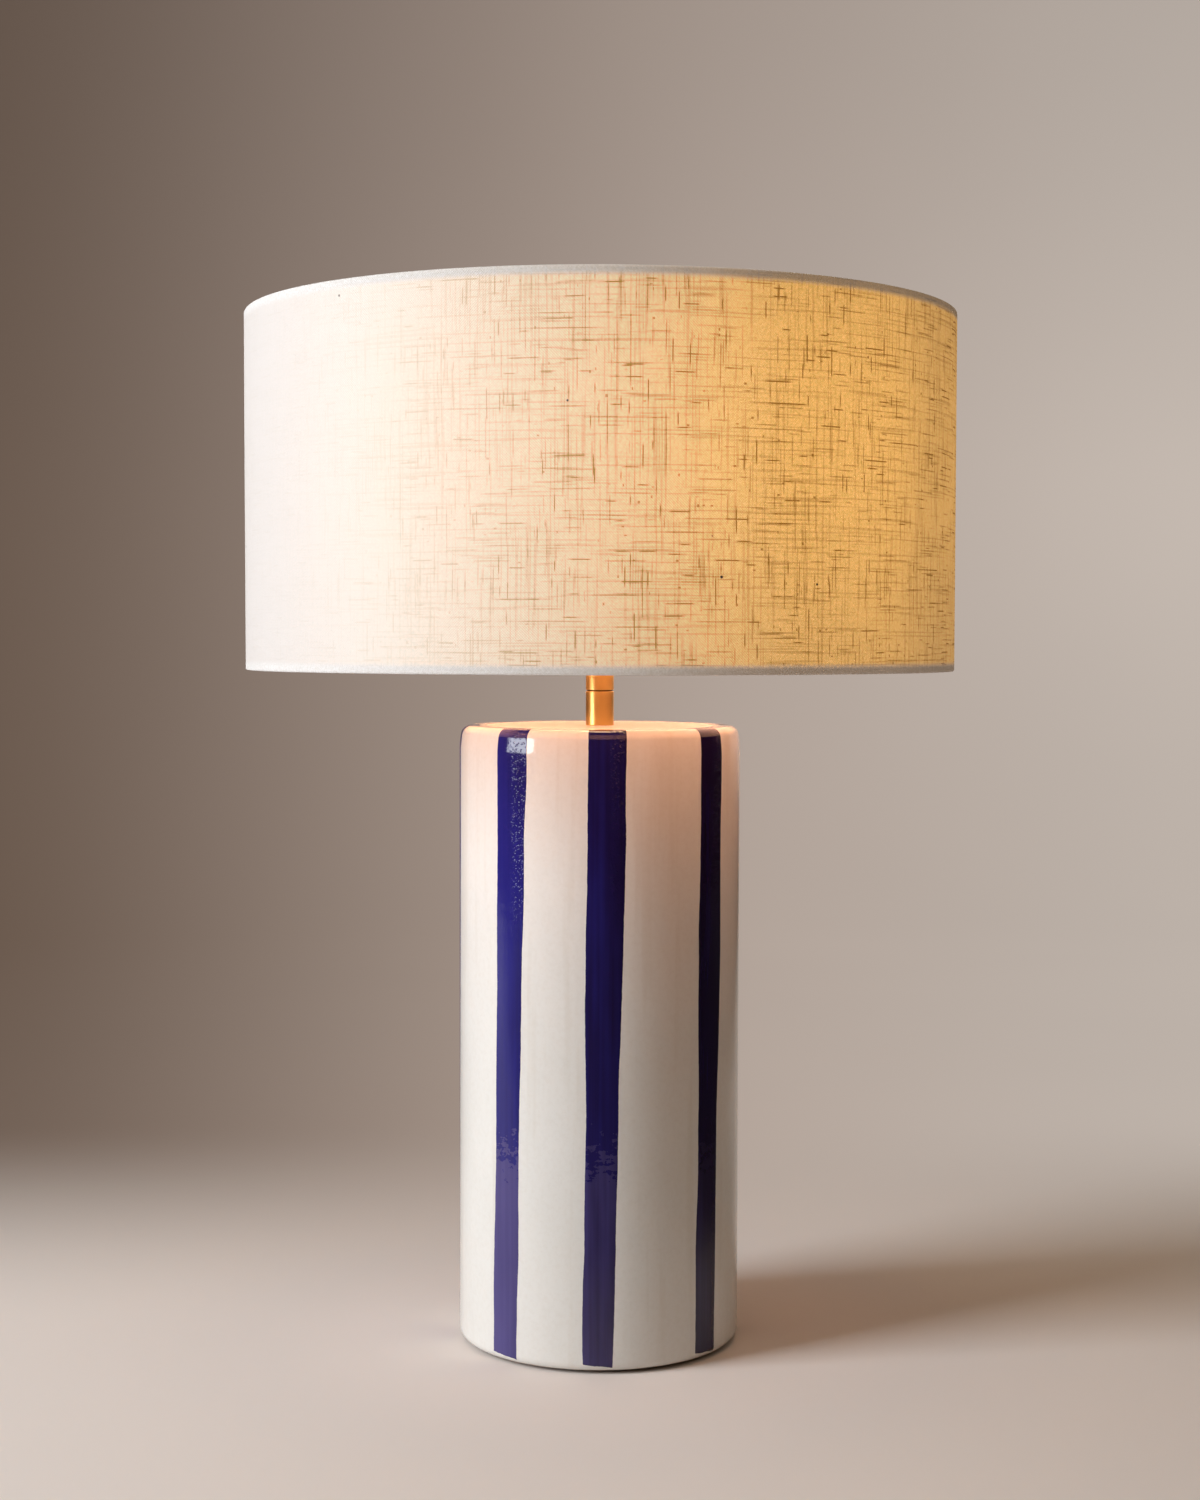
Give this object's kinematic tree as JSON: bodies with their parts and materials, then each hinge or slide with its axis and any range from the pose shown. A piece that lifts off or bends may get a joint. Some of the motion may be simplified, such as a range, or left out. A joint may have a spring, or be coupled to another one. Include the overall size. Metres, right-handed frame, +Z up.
{
  "type": "table lamp",
  "caption": "Table lamp: a glazed ceramic cylinder with painted vertical stripes, a short brass neck, and a wide fabric drum shade over an opal bulb.",
  "frame": {"origin": "on the table, on the lamp's axis, at the middle of the foot", "axes": "+Z up along the lamp's axis, +Y to the back, where the cord entry is, and +X to the right seen from the front"},
  "size_m": [0.3999, 0.4, 0.581],
  "materials": {
    "felt": "pressed wool felt",
    "glaze": "glossy white glaze over hand-painted blue stripes",
    "zinc_steel": "bright zinc plate",
    "rubber": "black rubber",
    "neck_brass": "turned and lacquered, satin",
    "ivory_plastic": "moulded",
    "holder_plastic": "moulded, smooth",
    "porcelain": "unglazed insulator",
    "contact_brass": "stamped",
    "solder": "tinned",
    "black_glass": "moulded insulator",
    "nickel": "nickel-plated shell",
    "opal_glass": "opal white",
    "white_metal": "white powder coat",
    "shade_linen": "plain weave with slubs",
    "shade_lining": "translucent lining sheet"
  },
  "bodies": {
    "lamp": {"felt_pad": "felt", "ceramic_body": "glaze", "threaded_tube": "zinc_steel", "stem_gasket": "rubber", "stem_washer": "zinc_steel", "lock_washer": "zinc_steel", "clamp_nut": "zinc_steel", "neck_lower": "neck_brass", "neck_upper": "neck_brass", "cord_gland": "ivory_plastic", "gland_nut": "ivory_plastic", "holder_cap": "holder_plastic", "holder_grub_screw": "zinc_steel", "holder_core": "porcelain", "terminal_screws": "contact_brass", "centre_contact": "contact_brass", "holder_skirt": "holder_plastic", "holder_screw_shell": "contact_brass"},
    "bulb": {"bulb_contact": "solder", "bulb_insulator": "black_glass", "bulb_cap": "nickel", "bulb_envelope": "opal_glass"},
    "shade_ring": {"shade_ring": "holder_plastic"},
    "shade": {"fitter_ring": "white_metal", "spider_arms": "white_metal", "bottom_ring": "white_metal", "top_ring": "white_metal", "shade_fabric": "shade_linen", "shade_liner": "shade_lining"}
  },
  "joints": [
    {"name": "shade_turn", "type": "hinge", "parent": "lamp", "child": "shade", "pos_m": [0, 0, 0.426], "axis": [0, 0, 1], "continuous": true},
    {"name": "shade_ring_screw", "type": "hinge", "parent": "lamp", "child": "shade_ring", "pos_m": [0, 0, 0.4275], "axis": [0, 0, 1], "range_deg": [0, 2160]},
    {"name": "bulb_screw", "type": "hinge", "parent": "lamp", "child": "bulb", "pos_m": [0, 0, 0.4475], "axis": [0, 0, 1], "range_deg": [0, 1440]}
  ]
}
